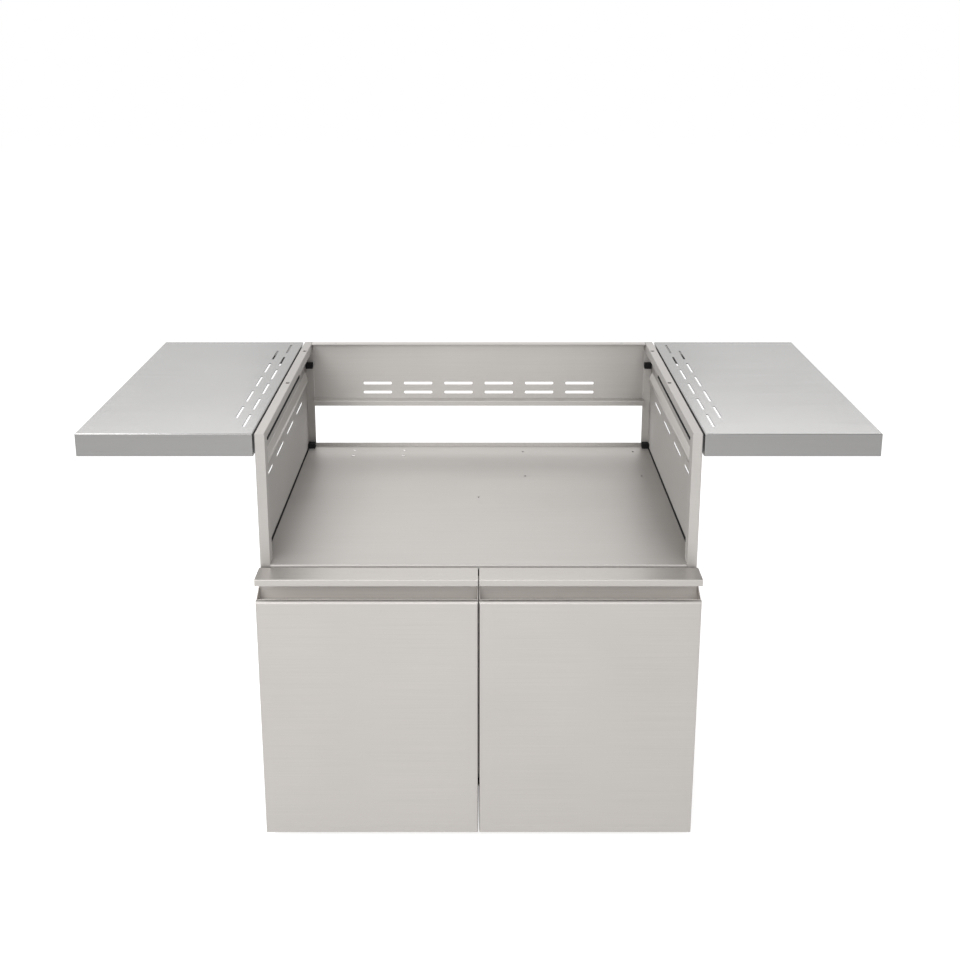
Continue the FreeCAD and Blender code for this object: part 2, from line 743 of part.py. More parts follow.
def shelf():
    """A folded pan, open underneath, hemmed, with two staggered rows of slots by its inner edge."""
    owner = new_body("shelf")
    plan = sketch(owner, "XY_Plane", "shelf_low")
    rectangle(plan, "shelf_in", "front_y", "shelf_out", "rear_y")
    pad(owner, plan, "shelf_thickness")
    round_edges(owner, "bend", lambda direction, middle: (
        direction == "Z" or near(middle.z, "counter_height")))
    hollow = sketch(owner, "XY_Plane", "shelf_low")
    rectangle(hollow, "shelf_in + gauge", "front_y + gauge", "shelf_out - gauge", "rear_y - gauge")
    pocket(owner, hollow, "shelf_thickness - gauge", backwards=True)
    hem = sketch(owner, "XY_Plane", "shelf_low")
    for inset in ("gauge / 2", "shelf_hem"):
        rectangle(hem, "shelf_in + " + inset, "front_y + " + inset,
                  "shelf_out - " + inset, "rear_y - " + inset)
    pad(owner, hem, "gauge")
    inner = sketch(owner, "XY_Plane", "counter_height")
    inner_x = "shelf_in + shelf_slot_inset"
    start = "front_y + shelf_slot_start + slot_length / 2"
    slot(inner, inner_x, start, True, "shelf_slot_width")
    repeat(owner, pocket(owner, inner, "gauge * 2"), inner, "V_Axis", "slot_pitch", "shelf_slot_count")
    outer = sketch(owner, "XY_Plane", "counter_height")
    slot(outer, inner_x + " + shelf_row_gap", start + " + slot_pitch / 2", True, "shelf_slot_width")
    repeat(owner, pocket(owner, outer, "gauge * 2"), outer, "V_Axis", "slot_pitch", "shelf_slot_count - 1")
    screws = sketch(owner, "XY_Plane", "shelf_low")
    circle(screws, "shelf_screw_x", "front_y + bolt_first", "screw_shank + fit_gap / 2")
    screw = pocket(owner, screws, "gauge * 2", backwards=True)
    repeat(owner, screw, screws, "V_Axis", "bolt_pitch", "bolt_count")
    return owner


def shelf_angle():
    """The angle that carries a shelf: its upright leg on the side skin, its level leg under the hem."""
    owner = new_body("shelf_angle")
    section = sketch(owner, "XZ_Plane", "-(front_y + angle_inset)")
    outline(section, [
        ("half_width", "shelf_low - angle_gauge"),
        ("half_width + angle_leg", "shelf_low - angle_gauge"),
        ("half_width + angle_leg", "shelf_low"),
        ("half_width + angle_gauge", "shelf_low"),
        ("half_width + angle_gauge", "counter_height - angle_drop"),
        ("half_width", "counter_height - angle_drop"),
    ])
    pad(owner, section, "frame_depth - 2 * angle_inset", backwards=True)
    round_edges(owner, "bend + angle_gauge", lambda direction, middle: (
        direction == "Y" and near(middle.x, "half_width") and near(middle.z, "shelf_low - angle_gauge")))
    bolts = sketch(owner, "YZ_Plane", "half_width")
    circle(bolts, "front_y + bolt_first", "bolt_height", "bolt_radius + fit_gap / 2")
    bolt = pocket(owner, bolts, "angle_gauge * 1.5", backwards=True)
    repeat(owner, bolt, bolts, "H_Axis", "bolt_pitch", "bolt_count")
    screws = sketch(owner, "XY_Plane", "shelf_low")
    circle(screws, "shelf_screw_x", "front_y + bolt_first", "screw_shank + fit_gap / 2")
    screw = pocket(owner, screws, "angle_gauge * 1.5")
    repeat(owner, screw, screws, "V_Axis", "bolt_pitch", "bolt_count")
    return owner


def shelf_fasteners():
    """Bolts through the side skin into the angle, and screws up through the angle into the hem."""
    bolts = []
    screws = []
    for k in range(int(value("bolt_count"))):
        y = "front_y + bolt_first + %d * bolt_pitch" % k
        head = hexagon(("wall_in - bolt_head_height", y, "bolt_height"), "X", "bolt_head", "bolt_head_height")
        shank = rod(("wall_in - bolt_head_height", y, "bolt_height"), "X", "bolt_radius",
                    "bolt_head_height + gauge + angle_gauge")
        bolt = fuse(head, shank)
        bolts += [bolt, mirrored(bolt)]
        x = "shelf_screw_x"
        low = "shelf_low - angle_gauge - gauge"
        head = rod((x, y, low), "Z", "screw_head", "gauge")
        shank = rod((x, y, low), "Z", "screw_shank", "angle_gauge + 4 * gauge")
        screw = fuse(head, shank)
        screws += [screw, mirrored(screw)]
    keep(group(*bolts), "shelf_bolts")
    keep(group(*screws), "shelf_screws")


pair(shelf(), "shelf")
pair(shelf_angle(), "shelf_angle")
shelf_fasteners()

# Doors


def hinge_notches():
    """Blocks that clear the door's outer back corner round each hinge."""
    blocks = []
    for height in ("hinge_low", "hinge_high"):
        deep = "hinge_setback + notch_reach"
        low = ("door_out - notch_width", "door_back - (%s)" % deep, height + " - notch_height / 2")
        blocks.append(box(low, ("notch_width + gauge", deep + " + gauge", "notch_height")))
    return blocks


def rolled_block(name, low, high, back, bend, roll):
    """A block with its front edges rounded and its top edge rolled back into a step.

    low and high give its corners, with the step's front edge as the height of high, and back gives
    the step's back: how far back it stands, where it starts and how high it goes up."""
    profile = new_body(name + "_profile")
    section = sketch(profile, "YZ_Plane", low[0])
    outline(section, [
        (low[1], low[2]),
        (low[1], high[2]),
        (back[0], back[1]),
        (back[0], back[2]),
        (high[1], back[2]),
        (high[1], low[2]),
    ])
    pad(profile, section, "(%s) - (%s)" % (high[0], low[0]))
    round_edges(profile, roll, lambda direction, middle: (
        direction == "X" and near(middle.y, low[1]) and near(middle.z, high[2])))
    round_edges(profile, bend, lambda direction, middle: (
        direction == "X" and near(middle.y, low[1]) and near(middle.z, low[2])))
    plan = new_body(name + "_plan")
    area = sketch(plan, "XY_Plane", low[2])
    rectangle(area, low[0], low[1], high[0], high[1])
    pad(plan, area, "(%s) - (%s)" % (back[2], low[2]))
    round_edges(plan, bend, lambda direction, middle: direction == "Z" and near(middle.y, low[1]))
    return common(profile, plan)


def grip_end(start):
    """The plate that closes one end of the finger recess, a sheet thick, from a place in X."""
    owner = new_body("grip_end")
    section = sketch(owner, "YZ_Plane", start)
    front = "grip_roll * 1.5"
    outline(section, [
        ("door_face + " + front, "face_top - gauge / 4 - grip_slope * " + front),
        ("grip_back + gauge / 2", "face_top + grip_rise"),
        ("grip_back + gauge / 2", "face_top - gauge / 4 - grip_slope * (grip_depth + gauge / 2)"),
    ])
    pad(owner, section, "gauge")
    return owner


def door_skin():
    """The folded face: its top rolls back and down into the finger recess and turns up behind it."""
    outside = rolled_block(
        "door_outside",
        ("door_in", "door_face", "door_bottom"),
        ("door_out", "door_back - gauge", "face_top"),
        ("grip_back", "face_top - grip_fall", "door_top - gauge"),
        "door_bend", "grip_roll")
    hollow = rolled_block(
        "door_hollow",
        ("door_in + gauge", "door_face + gauge", "door_bottom + gauge"),
        ("door_out - gauge", "door_back", "face_top - grip_under"),
        ("grip_back + gauge", "face_top - grip_fall - grip_under", "door_top"),
        "door_bend - gauge", "grip_roll - gauge")
    shell = cut(outside, hollow, *hinge_notches())
    return fuse(shell, grip_end("door_in"), grip_end("door_out - gauge"))


def door_liner():
    """The flat inner skin that closes the back of a door."""
    sheet_low = ("door_in", "door_back - gauge", "door_bottom")
    size = ("door_out - door_in", "gauge", "door_top - lip_back - fit_gap - door_bottom")
    return cut(box(sheet_low, size), *hinge_notches())


def door_lip():
    """The channel over the finger recess: flat top, turned down at the front and the back."""
    owner = new_body("door_lip")
    section = sketch(owner, "YZ_Plane", "door_in")
    outline(section, [
        ("door_face", "door_top - lip_height"),
        ("door_face", "door_top"),
        ("door_back", "door_top"),
        ("door_back", "door_top - lip_back"),
        ("door_back - gauge", "door_top - lip_back"),
        ("door_back - gauge", "door_top - gauge"),
        ("door_face + gauge", "door_top - gauge"),
        ("door_face + gauge", "door_top - lip_height"),
    ])
    pad(owner, section, "door_out - door_in")
    round_edges(owner, "bend", lambda direction, middle: (
        direction == "X" and near(middle.z, "door_top")))
    return owner


def hinge_brackets():
    """A plate on the front post with two ears, at each hinge."""
    brackets = []
    for height in ("hinge_low", "hinge_high"):
        plate = box(("post_in + gauge", "door_back", height + " - hinge_plate_height / 2"),
                    ("post_width - 2 * gauge", "door_gap", "hinge_plate_height"))
        pieces = [plate]
        for low in (height + " - hinge_spread / 2 - hinge_ear_gauge", height + " + hinge_spread / 2"):
            pieces.append(box(("hinge_x - hinge_ear_radius", "hinge_y", low),
                              ("2 * hinge_ear_radius", "hinge_setback + door_gap / 2", "hinge_ear_gauge")))
            pieces.append(rod(("hinge_x", "hinge_y", low), "Z", "hinge_ear_radius", "hinge_ear_gauge"))
        bore = rod(("hinge_x", "hinge_y", height + " - hinge_spread"), "Z",
                   "hinge_pin_radius + running_gap", "2 * hinge_spread")
        brackets.append(cut(fuse(*pieces), bore))
    return group(*brackets)


def hinge_pins():
    pins = []
    for height in ("hinge_low", "hinge_high"):
        reach = "hinge_spread / 2 + hinge_ear_gauge"
        shank = rod(("hinge_x", "hinge_y", height + " - (" + reach + ")"), "Z",
                    "hinge_pin_radius", "2 * (" + reach + ")")
        head = rod(("hinge_x", "hinge_y", height + " + " + reach), "Z", "hinge_pin_head", "hinge_ear_gauge")
        pins.append(fuse(shank, head))
    return group(*pins)


def hinge_knuckles():
    """The blocks inside a door that turn on the hinge pins, seated on the back of its face."""
    knuckles = []
    for height in ("hinge_low", "hinge_high"):
        low = height + " - knuckle_height / 2"
        sleeve = rod(("hinge_x", "hinge_y", low), "Z", "knuckle_radius", "knuckle_height")
        block = box(("hinge_x - knuckle_radius", "door_face + gauge", low),
                    ("knuckle_radius + hinge_inset - door_bend", "hinge_y - door_face - gauge",
                     "knuckle_height"))
        bore = rod(("hinge_x", "hinge_y", height + " - knuckle_height"), "Z",
                   "hinge_pin_radius + running_gap", "2 * knuckle_height")
        knuckles.append(cut(fuse(sleeve, block), bore))
    return group(*knuckles)


def strike_plate():
    low = ("magnet_offset - magnet_width / 2", "door_back", "magnet_height - magnet_length / 2")
    return box(low, ("magnet_width", "strike_gauge", "magnet_length"))


pair(door_skin(), "door_skin")
pair(door_liner(), "door_liner")
pair(door_lip(), "door_lip")
pair(hinge_brackets(), "hinge_brackets")
pair(hinge_pins(), "hinge_pins")
pair(hinge_knuckles(), "hinge_knuckles")
pair(strike_plate(), "strike_plate")

# Base rails and casters

CASTERS = [
    ("front_left", "-base_rail_x", "front_y + caster_front"),
    ("front_right", "base_rail_x", "front_y + caster_front"),
    ("rear_left", "-base_rail_x", "front_y + caster_rear"),
    ("rear_right", "base_rail_x", "front_y + caster_rear"),
]

PLATE_CORNERS = [
    (across + "plate_hole_x / 2", along + "plate_hole_y / 2")
    for across in ("-", "+") for along in ("-", "+")
]


def base_rail():
    """A channel under the cabinet floor that the casters bolt to."""
    owner = new_body("base_rail")
    left = "base_rail_x - base_rail_width / 2"
    right = "base_rail_x + base_rail_width / 2"
    top = "floor_height - gauge"
    section = sketch(owner, "XZ_Plane", "-(front_y + gauge + fit_gap)")
    outline(section, [
        (left, "base_height"),
        (right, "base_height"),
        (right, top),
        (right + " - base_rail_gauge", top),
        (right + " - base_rail_gauge", "base_height + base_rail_gauge"),
        (left + " + base_rail_gauge", "base_height + base_rail_gauge"),
        (left + " + base_rail_gauge", top),
        (left, top),
    ])
    pad(owner, section, "frame_depth - 3 * gauge - 2 * fit_gap", backwards=True)
    holes = sketch(owner, "XY_Plane", "base_height")
    for y in ("front_y + caster_front", "front_y + caster_rear"):
        for across, along in PLATE_CORNERS:
            circle(holes, "base_rail_x " + across, y + " " + along, "plate_bolt_radius + fit_gap / 2")
    pocket(owner, holes, "base_rail_gauge * 1.5", backwards=True)
    return owner


def caster_plate():
    """The top plate of a caster with its ball race, round the swivel axis."""
    owner = new_body("caster_plate")
    plan = sketch(owner, "XY_Plane", "plate_low")
    rectangle(plan, "-plate_width / 2", "-plate_length / 2", "plate_width / 2", "plate_length / 2")
    pad(owner, plan, "plate_gauge")
    round_edges(owner, "plate_round", lambda direction, middle: direction == "Z")
    race = sketch(owner, "XY_Plane", "plate_low")
    circle(race, "0", "0", "race_radius")
    pad(owner, race, "race_height", backwards=True)
    holes = sketch(owner, "XY_Plane", "base_height")
    for across, along in PLATE_CORNERS:
        circle(holes, across, along, "plate_bolt_radius + fit_gap / 2")
    pocket(owner, holes, "plate_gauge * 1.5")
    bore = sketch(owner, "XY_Plane", "base_height")
    circle(bore, "0", "0", "kingpin_radius + running_gap")
    pocket(owner, bore, "plate_gauge + race_height * 2")
    return owner


def kingpin():
    low = "crown_low - fit_gap - kingpin_head_height"
    head = rod(("0", "0", low), "Z", "kingpin_head", "kingpin_head_height")
    shank = rod(("0", "0", low), "Z", "kingpin_radius", "base_height - (%s)" % low)
    return fuse(head, shank)


def caster_bolt(across, along):
    head = hexagon((across, along, "plate_low - plate_bolt_head_height"), "Z",
                   "plate_bolt_head", "plate_bolt_head_height")
    shank = rod((across, along, "plate_low - plate_bolt_head_height"), "Z", "plate_bolt_radius",
                "plate_bolt_head_height + plate_gauge + base_rail_gauge + plate_nut_height")
    nut = hexagon((across, along, "base_height + base_rail_gauge"), "Z",
                  "plate_bolt_head", "plate_nut_height")
    return fuse(head, shank, nut)


def fork():
    """The swivelling fork: a crown under the race and two legs that hold the axle and the brake pin."""
    owner = new_body("fork")
    crown = sketch(owner, "XY_Plane", "crown_low")
    circle(crown, "0", "0", "race_radius")
    pad(owner, crown, "crown_gauge")
    bridge = sketch(owner, "XY_Plane", "crown_low")
    reach = "(fork_gap / 2 + fork_gauge)"
    rectangle(bridge, "-" + reach, "-fork_front / 2", reach, "fork_front")
    pad(owner, bridge, "crown_gauge")
    for low in ("fork_gap / 2", "-" + reach):
        leg = sketch(owner, "YZ_Plane", low)
        outline(leg, [
            ("-fork_front", "crown_top"),
            ("fork_rear", "crown_top"),
            ("fork_rear", "crown_top - fork_boss"),
            ("trail + fork_boss", "wheel_radius"),
            ("trail - fork_boss", "wheel_radius"),
            ("-fork_front", "crown_top - fork_boss"),
        ])
        pad(owner, leg, "fork_gauge")
        boss = sketch(owner, "YZ_Plane", low)
        circle(boss, "trail", "wheel_radius", "fork_boss")
        pad(owner, boss, "fork_gauge")
    bore = sketch(owner, "XY_Plane", "crown_top")
    circle(bore, "0", "0", "kingpin_radius + running_gap")
    pocket(owner, bore, "crown_gauge * 2")
    holes = sketch(owner, "YZ_Plane", reach)
    circle(holes, "trail", "wheel_radius", "axle_radius + running_gap")
    circle(holes, "brake_y", "brake_z", "brake_pin_radius + running_gap")
    pocket(owner, holes, "fork_gap + 2 * fork_gauge")
    return owner


def axle():
    reach = "fork_gap / 2 + fork_gauge"
    shank = rod(("-(%s) - axle_head_height" % reach, "trail", "wheel_radius"), "X", "axle_radius",
                "2 * (%s) + 2 * axle_head_height" % reach)
    head = hexagon(("-(%s) - axle_head_height" % reach, "trail", "wheel_radius"), "X",
                   "axle_head", "axle_head_height")
    nut = hexagon((reach, "trail", "wheel_radius"), "X", "axle_head", "axle_head_height")
    return fuse(shank, head, nut)


def hub():
    """The moulded wheel centre, turned about the axle."""
    owner = new_body("hub")
    profile = sketch(owner, "XY_Plane")
    end = "fork_gap / 2 - fit_gap"
    bore = "axle_radius + running_gap"
    well = "rim_radius - rim_wall"
    outline(profile, [
        ("-(%s)" % end, bore),
        (end, bore),
        (end, "boss_radius - fit_gap"),
        ("web_width / 2", "boss_radius"),
        ("web_width / 2", well),
        ("rim_width / 2", well + " + fit_gap"),
        ("rim_width / 2", "rim_radius"),
        ("-rim_width / 2", "rim_radius"),
        ("-rim_width / 2", well + " + fit_gap"),
        ("-web_width / 2", well),
        ("-web_width / 2", "boss_radius"),
        ("-(%s)" % end, "boss_radius - fit_gap"),
    ])
    revolve(owner, profile)
    return owner


def tyre():
    """The solid tyre, with a flat tread and sloped shoulders."""
    owner = new_body("tyre")
    profile = sketch(owner, "XY_Plane")
    seat = "rim_radius + running_gap"
    shoulder = "(wheel_radius + rim_radius) / 2"
    outline(profile, [
        ("-rim_width / 2", seat),
        ("rim_width / 2", seat),
        ("tyre_width / 2", shoulder),
        ("tyre_width / 2", shoulder + " + (wheel_radius - rim_radius) / 4"),
        ("tyre_tread / 2", "wheel_radius"),
        ("-tyre_tread / 2", "wheel_radius"),
        ("-tyre_width / 2", shoulder + " + (wheel_radius - rim_radius) / 4"),
        ("-tyre_width / 2", shoulder),
    ])
    revolve(owner, profile)
    return owner


def brake_pin():
    reach = "(fork_gap / 2 + fork_gauge)"
    return rod(("-" + reach, "brake_y", "brake_z"), "X", "brake_pin_radius", "2 * " + reach)


def brake_pedal():
    """A foot pedal on its pin, with a shoe over the tyre."""
    half = "(fork_gap / 2 - 1)"
    tube = rod(("-" + half, "brake_y", "brake_z"), "X", "brake_tube", "2 * " + half)
    arm = box(("-" + half, "brake_y", "brake_z + brake_tube - pedal_gauge"),
              ("2 * " + half, "pedal_length", "pedal_gauge"))
    toe = ("-pedal_width / 2", "brake_y + pedal_length - pedal_toe", "brake_z + brake_tube - pedal_gauge")
    tread = box(toe, ("pedal_width", "pedal_toe", "pedal_gauge * 1.5"))
    over_axle = "brake_y + shoe_offset - trail"
    tyre_top = "wheel_radius + sqrt(wheel_radius ^ 2 - (%s) ^ 2)" % over_axle
    shoe_low = "%s + shoe_room" % tyre_top
    shoe = box(("-tyre_tread / 2", "brake_y + shoe_offset", shoe_low),
               ("tyre_tread", "shoe_length", "brake_z + brake_tube - (%s)" % shoe_low))
    bore = rod(("-fork_gap", "brake_y", "brake_z"), "X", "brake_pin_radius + running_gap", "2 * fork_gap")
    return cut(fuse(tube, arm, tread, shoe), bore)


def copy_to(piece, x, y, z="0"):
    """A placed copy of a piece that is drawn at the swivel axis."""
    return place(group(piece), x, y, z)


pair(base_rail(), "base_rail")

plate = caster_plate()
pin = kingpin()
bolts = [caster_bolt(across, along) for across, along in PLATE_CORNERS]
keep(group(*[copy_to(plate, x, y) for name, x, y in CASTERS]), "caster_plates")
keep(group(*[copy_to(pin, x, y) for name, x, y in CASTERS]), "caster_kingpins")
keep(group(*[copy_to(bolt, x, y) for name, x, y in CASTERS for bolt in bolts]), "caster_bolts")

caster_fork = fork()
caster_axle = axle()
caster_hub = hub()
caster_tyre = tyre()
caster_brake_pin = brake_pin()
caster_pedal = brake_pedal()
for name, x, y in CASTERS:
    keep(copy_to(caster_fork, x, y), name + "_caster_fork")
    keep(copy_to(caster_axle, x, y), name + "_caster_axle")
    keep(copy_to(caster_hub, x, y + " + trail", "wheel_radius"), name + "_caster_hub")
    keep(copy_to(caster_tyre, x, y + " + trail", "wheel_radius"), name + "_caster_tyre")
    if name.startswith("front"):
        keep(copy_to(caster_brake_pin, x, y), name + "_brake_pin")
        keep(copy_to(caster_pedal, x, y), name + "_brake_pedal")

# Checks and export

doc.recompute()
failed = [item.Label for item in doc.Objects if {"Invalid", "Error"} & set(item.State)]
empty = [
    item.Label for item in PARTS
    if item.Shape.isNull() or not item.Shape.isValid() or not item.Shape.Solids
]
if failed or empty:
    raise RuntimeError("failed: %s, empty or invalid: %s" % (failed, empty))
os.makedirs("parts", exist_ok=True)
for item in PARTS:
    item.Shape.exportStep("parts/%s.step" % item.Label)
    print("%-28s %2d solids %12.1f mm3" % (item.Label, len(item.Shape.Solids), item.Shape.Volume))
print(len(PARTS), "sub-parts")
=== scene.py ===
# %% [markdown]
# A grill cart in satin stainless steel: an open well for a built-in grill, a shelf on either side,
# two doors with a folded finger recess, and four small casters underneath. The CAD model gives
# every shape and every hinge. This lesson dresses it: first the view and the light, then the
# finishes, then the small pieces that a drawing leaves out.

# %% Load the frame
import json
import math

import bmesh
import bpy
from mathutils import Matrix, Vector


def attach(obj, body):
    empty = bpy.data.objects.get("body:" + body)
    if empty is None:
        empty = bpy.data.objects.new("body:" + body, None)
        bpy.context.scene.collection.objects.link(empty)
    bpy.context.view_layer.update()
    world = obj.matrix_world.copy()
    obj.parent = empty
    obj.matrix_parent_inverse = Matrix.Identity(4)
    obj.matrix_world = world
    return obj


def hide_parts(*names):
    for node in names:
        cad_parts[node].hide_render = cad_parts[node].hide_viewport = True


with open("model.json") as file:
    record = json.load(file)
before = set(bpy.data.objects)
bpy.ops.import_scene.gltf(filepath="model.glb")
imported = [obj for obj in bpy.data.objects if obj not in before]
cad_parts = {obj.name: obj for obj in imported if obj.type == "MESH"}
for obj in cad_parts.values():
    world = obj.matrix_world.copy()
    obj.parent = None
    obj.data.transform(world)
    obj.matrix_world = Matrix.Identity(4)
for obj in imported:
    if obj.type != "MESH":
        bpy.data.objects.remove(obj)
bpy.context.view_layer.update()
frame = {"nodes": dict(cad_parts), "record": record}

nodes = frame["nodes"]

# %% [markdown]
# The photograph looks down on the cart from the front, from about eye height and on the cart's own
# middle line. The upright edges hardly lean together, so the camera is tilted less than its height
# would need and the picture is shifted down instead, as on a camera with a sliding lens. A shift
# of a fifth of the frame keeps the cart whole from every other side too.

# %% Camera
LENS_PX = 1113.4
PICTURE_PX = 960.0
TILT_DOWN = math.radians(13.12)

camera_data = bpy.data.cameras.new("photo_camera")
camera_data.sensor_width = 36.0
camera_data.lens = LENS_PX * camera_data.sensor_width / PICTURE_PX
camera_data.shift_x = 0.00145
camera_data.shift_y = -0.20
camera = bpy.data.objects.new("photo_camera", camera_data)
camera.location = (0.0, -2.4485, 1.7165)
camera.rotation_euler = (math.pi / 2 - TILT_DOWN, 0.0, 0.0)
bpy.context.collection.objects.link(camera)
bpy.context.scene.camera = camera
bpy.context.scene.view_settings.view_transform = "Standard"
print("lens", round(camera_data.lens, 2), "mm")

# %% [markdown]
# The light, the floor and every finish are small networks of nodes. In Blender an input of a node
# holds either a value of its own or a link from another node. These helpers take both alike, so
# that the steps below read as what they work out and not as a list of wires.

# %% Ways to build a node network


def feed(tree, node, inputs):
    """Sets each named input of a node to a value, or links it to another node's output."""
    for into, given in inputs.items():
        if isinstance(given, bpy.types.NodeSocket):
            tree.links.new(given, node.inputs[into])
        else:
            node.inputs[into].default_value = given
    return node


def new_node(tree, kind, inputs, operation=None):
    node = tree.nodes.new("ShaderNode" + kind)
    if operation:
        node.operation = operation
    return feed(tree, node, inputs)


def worked(tree, operation, *numbers):
    """The result of one step of arithmetic."""
    return new_node(tree, "Math", dict(enumerate(numbers)), operation).outputs[0]


def ranged(tree, number, from_min, from_max, to_min, to_max):
    """The number carried over from one range to another, and held at both ends."""
    return new_node(tree, "MapRange", {
        "Value": number, "From Min": from_min, "From Max": from_max,
        "To Min": to_min, "To Max": to_max}).outputs[0]


def own(tree, what):
    """Where a point lies in the piece's own axes (Object), or where its face looks (Normal)."""
    return new_node(tree, "TexCoord", {}).outputs[what]


def split(tree, vector):
    """The X, Y and Z of a vector."""
    return new_node(tree, "SeparateXYZ", {"Vector": vector}).outputs


print("helpers for node networks")

# %% [markdown]
# A catalogue picture is taken against white. Brushed steel has hardly any colour of its own, so
# most of what is seen on it is that white room. The world is white to the camera and to
# reflections, and dimmer to everything else, so that the room doesn't wash out the shadows.

# %% White room
WHITE = (1.0, 1.0, 1.0, 1.0)
FILL_STRENGTH = 0.5
BACKDROP_STRENGTH = 1.0


def seen_rays(tree):
    """1 for rays from the camera, a reflection or through glass, 0 for the rest."""
    path = new_node(tree, "LightPath", {}).outputs
    seen = worked(tree, "MAXIMUM", path["Is Camera Ray"], path["Is Glossy Ray"])
    return worked(tree, "MAXIMUM", seen, path["Is Transmission Ray"])


def by_ray(tree, unseen, seen):
    """One shader for the rays that are seen, another for those that only light."""
    return new_node(tree, "MixShader", {0: seen_rays(tree), 1: unseen, 2: seen}).outputs[0]


world = bpy.data.worlds.new("white_room")
bpy.context.scene.world = world
world.use_nodes = True
room = world.node_tree
room.nodes.clear()
fill_light = new_node(room, "Background", {"Color": WHITE, "Strength": FILL_STRENGTH})
backdrop = new_node(room, "Background", {"Color": WHITE, "Strength": BACKDROP_STRENGTH})
new_node(room, "OutputWorld", {"Surface": by_ray(room, fill_light.outputs[0], backdrop.outputs[0])})
print("room lights at", FILL_STRENGTH)

# %% [markdown]
# The floor is a wide white sheet. To the camera it glows a little, just enough to reach white
# where nothing shades it. Under the cart the glow fades, which paints a shadow there on top of the
# real one. The fade is worked out from the distance to the edge of the cart's footprint.

# %% Floor
FLOOR_REACH = 14.0
PAPER_TONE = (0.84, 0.84, 0.84, 1.0)
FOOTPRINT_MIDDLE_Y = 0.03
FOOTPRINT_HALF = (0.42, 0.30)
FADE_INSIDE, FADE_OUTSIDE = -0.12, 0.06
# The weak glow under the cart paints a shadow there on top of the real one.
GLOW_IN_PAINTED_SHADOW, GLOW_OPEN = 0.10, 0.62


def floor_glow_with_painted_shadow(tree):
    """A glow that is weak inside the footprint, a painted shadow, and grows to its full strength at
    the edge of it.
    """
    place = split(tree, own(tree, "Object"))
    aside = worked(tree, "ABSOLUTE", place["X"])
    behind = worked(tree, "ABSOLUTE", worked(tree, "SUBTRACT", place["Y"], FOOTPRINT_MIDDLE_Y))
    outside = worked(
        tree, "MAXIMUM",
        worked(tree, "SUBTRACT", aside, FOOTPRINT_HALF[0]),
        worked(tree, "SUBTRACT", behind, FOOTPRINT_HALF[1]))
    return ranged(tree, outside, FADE_INSIDE, FADE_OUTSIDE, GLOW_IN_PAINTED_SHADOW, GLOW_OPEN)


paper = bpy.data.materials.new("white_paper")
paper.use_nodes = True
sheet = paper.node_tree
sheet.nodes.clear()
matt = new_node(sheet, "BsdfDiffuse", {"Color": PAPER_TONE}).outputs[0]
glow = new_node(sheet, "Emission", {"Strength": floor_glow_with_painted_shadow(sheet)}).outputs[0]
lifted = new_node(sheet, "AddShader", {0: matt, 1: glow}).outputs[0]
new_node(sheet, "OutputMaterial", {"Surface": by_ray(sheet, matt, lifted)})

floor_mesh = bpy.data.meshes.new("studio_floor")
floor_mesh.from_pydata(
    [(x * FLOOR_REACH, y * FLOOR_REACH, 0) for x, y in ((-1, -1), (1, -1), (1, 1), (-1, 1))],
    [], [(0, 1, 2, 3)])
floor_mesh.materials.append(paper)
studio_floor = bpy.data.objects.new("studio_floor", floor_mesh)
bpy.context.collection.objects.link(studio_floor)
print("floor", 2 * FLOOR_REACH, "m wide")

# %% [markdown]
# Six soft boxes light the cart: a wide one over the camera, a weak one on the left, and three
# behind. The two low ones behind are what the shelf tops mirror near their front edge, so the
# shelves fade from bright in front to grey at the back as they do in the photograph. The high one
# fills the well, and a small one over the left shelf makes the right wall of the well lighter than
# the left. Blender asks for a lamp's power, so the brightness of its face is multiplied by pi and
# by its area.

# %% Soft boxes
# Name, place, the spot it looks at, width and height, and how bright its face is.
SOFT_BOXES = (
    ("box_over_camera", (-0.45, -3.2, 2.4), (0.0, 0.0, 0.6), (3.2, 1.4), 3.1),
    ("box_left", (-2.2, -1.1, 2.8), (0.3, 0.0, 0.75), (1.8, 1.8), 1.6),
    ("box_behind_left", (-1.75, 3.0, 2.75), (-0.64, 0.0, 0.9), (1.3, 0.8), 1.55),
    ("box_behind_right", (1.75, 3.0, 2.75), (0.64, 0.0, 0.9), (1.3, 0.8), 1.8),
    ("box_high_behind", (0.0, 1.8, 3.4), (0.0, -0.1, 0.6), (1.6, 0.8), 1.9),
    ("box_high_left", (-1.25, 0.05, 1.95), (0.455, 0.0, 0.70), (0.7, 0.7), 6.0),
)
for name, place, target, size, radiance in SOFT_BOXES:
    lamp = bpy.data.lights.new(name, "AREA")
    lamp.shape = "RECTANGLE"
    lamp.size, lamp.size_y = size
    lamp.energy = radiance * math.pi * size[0] * size[1]
    holder = bpy.data.objects.new(name, lamp)
    holder.location = place
    look = Vector(target) - Vector(place)
    holder.rotation_euler = look.to_track_quat("-Z", "Y").to_euler()
    holder.visible_camera = False
    bpy.context.collection.objects.link(holder)
print(len(SOFT_BOXES), "soft boxes")

# %% [markdown]
# No finish is the same all over. A noise in the piece's own coordinates makes it vary: stretched,
# it gives the scratches of a brushed sheet, fine, the pits of a moulding, and broad, the clouds of
# a wiped surface. Its middle is spread over a range of roughness or of shades, and it can lift the
# surface by a hair. An image of scratches would do as well, but it would have to be unwrapped.

# %% Noise and shades
NOISE_LOW, NOISE_HIGH = 0.3, 0.7
EVEN = (1.0, 1.0, 1.0)


def new_finish(name):
    """A material, its network and the one shader that all finishes here start from."""
    finish = bpy.data.materials.new(name)
    finish.use_nodes = True
    return finish, finish.node_tree, finish.node_tree.nodes["Principled BSDF"]


